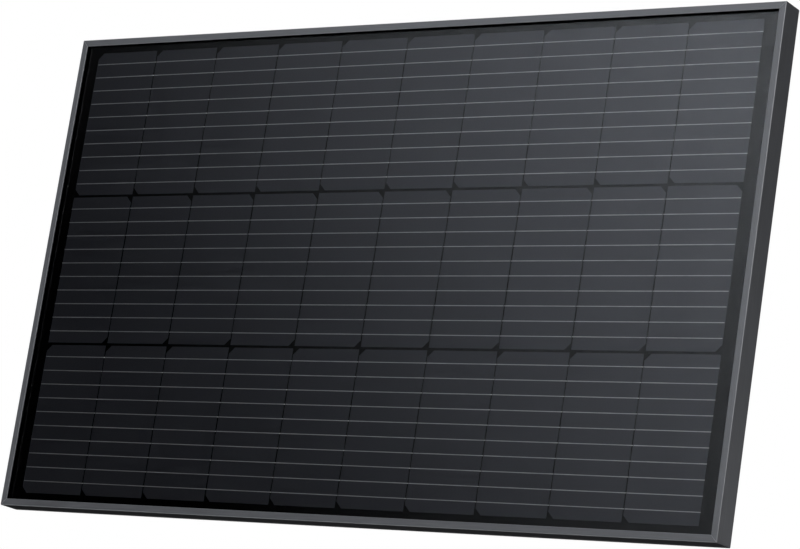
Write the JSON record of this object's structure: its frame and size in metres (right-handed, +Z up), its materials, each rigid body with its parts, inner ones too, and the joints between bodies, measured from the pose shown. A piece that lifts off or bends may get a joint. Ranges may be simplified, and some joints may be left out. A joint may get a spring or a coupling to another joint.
{
  "type": "solar panel",
  "caption": "Rigid framed solar panel: rows of half-cut cells under glass in a dark aluminium frame, with a rear junction box whose lid swings up.",
  "frame": {"origin": "centre of the four mounting slots, on the rear face of the frame", "axes": "+X along the long edge, to the right as seen from the glass side; +Y out of the back; +Z up along the short edge; the glass faces -Y"},
  "size_m": [0.976, 0.03, 0.586],
  "materials": {
    "frame": "dark anodised, fine satin grain along each rail",
    "corner_key": "mill finish",
    "sealant": "matt black silicone",
    "glass": "tempered, faintly textured",
    "clear_film": "clear",
    "black_film": "black",
    "cell": "dark blue-black silicon with fine printed fingers",
    "ribbon": "tinned copper",
    "bus": "black coated",
    "backsheet": "black, fine emboss",
    "box": "fine moulded texture",
    "foam_pad": "matt",
    "gasket": "matt",
    "steel_pin": "drawn",
    "terminal": "tinned",
    "diode": "moulded epoxy",
    "gland": "fine moulded texture",
    "label": "blank satin foil"
  },
  "bodies": {
    "panel": {"cell_top_01": "cell", "cell_top_02": "cell", "cell_top_03": "cell", "cell_top_04": "cell", "cell_top_05": "cell", "cell_top_06": "cell", "cell_top_07": "cell", "cell_top_08": "cell", "cell_top_09": "cell", "cell_top_10": "cell", "cell_middle_01": "cell", "cell_middle_02": "cell", "cell_middle_03": "cell", "cell_middle_04": "cell", "cell_middle_05": "cell", "cell_middle_06": "cell", "cell_middle_07": "cell", "cell_middle_08": "cell", "cell_middle_09": "cell", "cell_middle_10": "cell", "cell_bottom_01": "cell", "cell_bottom_02": "cell", "cell_bottom_03": "cell", "cell_bottom_04": "cell", "cell_bottom_05": "cell", "cell_bottom_06": "cell", "cell_bottom_07": "cell", "cell_bottom_08": "cell", "cell_bottom_09": "cell", "cell_bottom_10": "cell", "ribbons_top": "ribbon", "ribbons_middle": "ribbon", "ribbons_bottom": "ribbon", "frame_rail_top": "frame", "frame_rail_bottom": "frame", "frame_rail_left": "frame", "frame_rail_right": "frame", "corner_keys": "corner_key", "edge_seal": "sealant", "front_glass": "glass", "front_encapsulant": "clear_film", "rear_encapsulant": "black_film", "backsheet": "backsheet", "bus_link_right": "bus", "bus_link_left": "bus", "bus_lead_positive": "bus", "bus_lead_negative": "bus", "lead_insulation": "black_film", "junction_box_pad": "foam_pad", "junction_box_base": "box", "lid_seal": "gasket", "hinge_pin": "steel_pin", "terminal_plates": "terminal", "bypass_diodes": "diode", "cable_gland_positive": "gland", "cable_gland_negative": "gland", "gland_seals": "gasket", "rating_label": "label"},
    "lid": {"junction_box_lid": "box"}
  },
  "joints": [
    {"name": "lid_hinge", "type": "hinge", "parent": "panel", "child": "lid", "pos_m": [-0.39, -0.00642, 0.0424], "axis": [1, 0, 0], "range_deg": [0, 110]}
  ]
}
